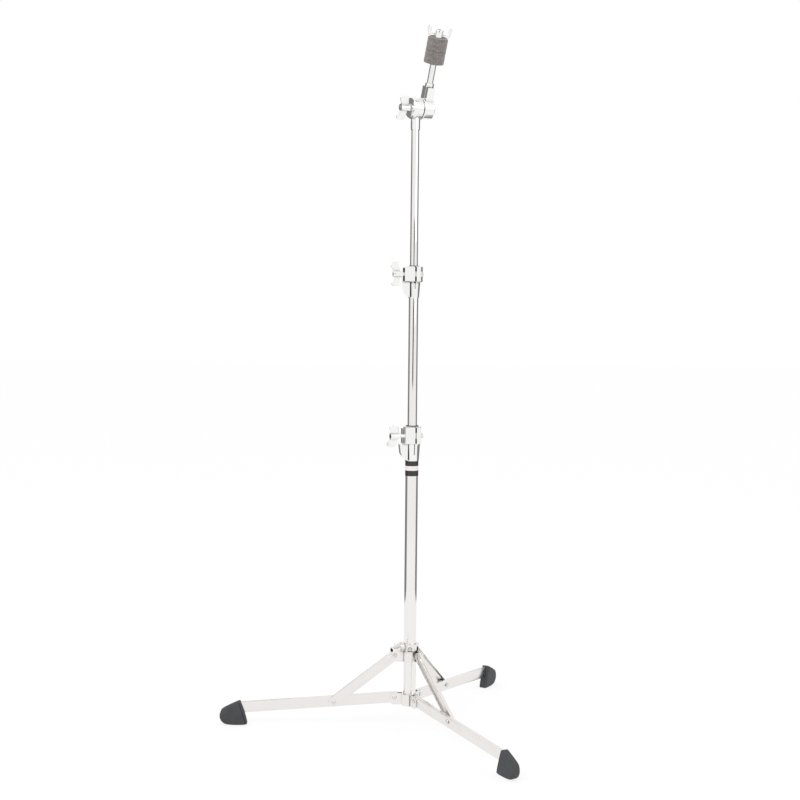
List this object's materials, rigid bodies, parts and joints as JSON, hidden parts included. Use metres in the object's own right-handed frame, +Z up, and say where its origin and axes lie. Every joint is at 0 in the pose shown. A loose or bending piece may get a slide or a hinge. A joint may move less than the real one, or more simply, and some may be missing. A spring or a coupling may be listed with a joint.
{
  "type": "cymbal stand",
  "caption": "Straight cymbal stand: flat folding tripod base, telescoping mast with wing-bolt clamps, and a tilter with a felted rod.",
  "frame": {"origin": "middle of the bounding box, on the floor under the stand", "axes": "+Z up along the mast, -X along one leg; the two other legs point to +X and either side"},
  "size_m": [0.585, 0.6724, 1.3916],
  "materials": {
    "tube_chrome": "bright chrome plate on drawn tube",
    "sheet_chrome": "chrome plate on pressed sheet",
    "rivet_chrome": "chrome plate on rivets, nuts and bolts",
    "cast_chrome": "chrome plate on die castings",
    "foot_rubber": "matt moulded rubber",
    "black_plastic": "moulded nylon",
    "grey_plastic": "moulded nylon",
    "printed_film": "black film with a pale stripe",
    "felt": "pressed wool felt"
  },
  "bodies": {
    "mast": {"lower_tube": "tube_chrome", "tube_end_plug": "black_plastic", "printed_band": "printed_film", "leg_hub": "sheet_chrome", "hub_rivet_a": "rivet_chrome", "hub_rivet_b": "rivet_chrome", "hub_rivet_c": "rivet_chrome", "lower_clamp_body": "cast_chrome", "lower_clamp_nut": "rivet_chrome"},
    "leg_one": {"leg_a": "sheet_chrome", "leg_rivet_a": "rivet_chrome", "foot_a": "foot_rubber"},
    "leg_two": {"leg_b": "sheet_chrome", "leg_rivet_b": "rivet_chrome", "foot_b": "foot_rubber"},
    "leg_three": {"leg_c": "sheet_chrome", "leg_rivet_c": "rivet_chrome", "foot_c": "foot_rubber"},
    "collar": {"brace_collar": "sheet_chrome", "collar_rivet_a": "rivet_chrome", "collar_rivet_b": "rivet_chrome", "collar_rivet_c": "rivet_chrome"},
    "brace_one": {"brace_a": "sheet_chrome", "brace_rivet_a": "rivet_chrome"},
    "brace_two": {"brace_b": "sheet_chrome", "brace_rivet_b": "rivet_chrome"},
    "brace_three": {"brace_c": "sheet_chrome", "brace_rivet_c": "rivet_chrome"},
    "collar_screw": {"collar_wing_screw": "cast_chrome"},
    "lower_bushing": {"lower_clamp_bushing": "black_plastic"},
    "lower_wing": {"lower_clamp_wing_bolt": "cast_chrome"},
    "middle": {"middle_tube": "tube_chrome", "upper_clamp_body": "cast_chrome", "upper_clamp_nut": "rivet_chrome"},
    "upper_bushing": {"upper_clamp_bushing": "black_plastic"},
    "upper_wing": {"upper_clamp_wing_bolt": "cast_chrome"},
    "top": {"top_tube": "tube_chrome", "tilter_socket": "cast_chrome", "tilter_pin": "rivet_chrome", "tilter_friction_disc": "grey_plastic", "tilter_bolt": "rivet_chrome", "tilter_washer": "rivet_chrome"},
    "tilter_wing": {"tilter_wing_nut": "cast_chrome"},
    "head": {"tilter_arm": "cast_chrome", "cymbal_rod": "tube_chrome", "rod_sleeve": "black_plastic", "lower_felt": "felt", "upper_felt": "felt"},
    "cymbal_wing": {"cymbal_wing_nut": "cast_chrome"}
  },
  "joints": [
    {"name": "leg_one_fold", "type": "hinge", "parent": "mast", "child": "leg_one", "pos_m": [0.06094, 0.0015, 0.0595], "axis": [0, 1, 0], "range_deg": [0, 87.4]},
    {"name": "leg_two_fold", "type": "hinge", "parent": "mast", "child": "leg_two", "pos_m": [0.10624, -0.02465, 0.0595], "axis": [-0.866, -0.5, 0], "range_deg": [0, 87.5]},
    {"name": "leg_three_fold", "type": "hinge", "parent": "mast", "child": "leg_three", "pos_m": [0.10624, 0.02765, 0.0595], "axis": [0.866, -0.5, 0], "range_deg": [0, 87.5]},
    {"name": "collar_slide", "type": "slide", "parent": "mast", "child": "collar", "axis": [0, 0, 1], "range_m": [0, 0.1903]},
    {"name": "brace_one_swing", "type": "hinge", "parent": "collar", "child": "brace_one", "pos_m": [0.06094, 0.0015, 0.14713], "axis": [0, 1, 0], "range_deg": [-46.2, 0]},
    {"name": "brace_two_swing", "type": "hinge", "parent": "collar", "child": "brace_two", "pos_m": [0.10624, -0.02465, 0.14713], "axis": [-0.866, -0.5, 0], "range_deg": [-46.2, 0]},
    {"name": "brace_three_swing", "type": "hinge", "parent": "collar", "child": "brace_three", "pos_m": [0.10624, 0.02765, 0.14713], "axis": [0.866, -0.5, 0], "range_deg": [-46.2, 0]},
    {"name": "collar_screw_turn", "type": "hinge", "parent": "collar", "child": "collar_screw", "pos_m": [0.09114, 0.0015, 0.16392], "axis": [-0.7431, -0.6691, 0], "continuous": true},
    {"name": "lower_swivel", "type": "hinge", "parent": "mast", "child": "lower_bushing", "pos_m": [0.09114, 0.0015, 0.5925], "axis": [0, 0, 1], "continuous": true},
    {"name": "lower_wing_turn", "type": "hinge", "parent": "mast", "child": "lower_wing", "pos_m": [0.0967, -0.01562, 0.5925], "axis": [-0.9511, -0.309, 0], "continuous": true},
    {"name": "middle_slide", "type": "slide", "parent": "lower_bushing", "child": "middle", "axis": [0, 0, 1], "range_m": [-0.24, 0.14]},
    {"name": "upper_swivel", "type": "hinge", "parent": "middle", "child": "upper_bushing", "pos_m": [0.09114, 0.0015, 0.9115], "axis": [0, 0, 1], "continuous": true},
    {"name": "upper_wing_turn", "type": "hinge", "parent": "middle", "child": "upper_wing", "pos_m": [0.09395, -0.01628, 0.9115], "axis": [-0.9877, -0.1564, 0], "continuous": true},
    {"name": "top_slide", "type": "slide", "parent": "upper_bushing", "child": "top", "axis": [0, 0, 1], "range_m": [-0.24, 0.14]},
    {"name": "tilter_wing_turn", "type": "hinge", "parent": "top", "child": "tilter_wing", "pos_m": [0.09114, 0.0015, 1.236], "axis": [-0.8746, -0.4848, 0], "continuous": true},
    {"name": "tilt", "type": "hinge", "parent": "top", "child": "head", "pos_m": [0.09114, 0.0015, 1.236], "axis": [0.8746, 0.4848, 0], "range_deg": [-110, 70]},
    {"name": "cymbal_wing_turn", "type": "hinge", "parent": "head", "child": "cymbal_wing", "pos_m": [0.13315, -0.02996, 1.36756], "axis": [0.1658, -0.2991, 0.9397], "continuous": true}
  ],
  "couplings": [
    {"joint": "leg_two_fold", "follows": "leg_one_fold", "ratio": 1},
    {"joint": "leg_three_fold", "follows": "leg_one_fold", "ratio": 1},
    {"joint": "collar_slide", "follows": "leg_one_fold", "m_per_rad": 0.12465},
    {"joint": "brace_one_swing", "follows": "leg_one_fold", "ratio": -0.52792},
    {"joint": "brace_two_swing", "follows": "leg_one_fold", "ratio": -0.52792},
    {"joint": "brace_three_swing", "follows": "leg_one_fold", "ratio": -0.52792}
  ]
}
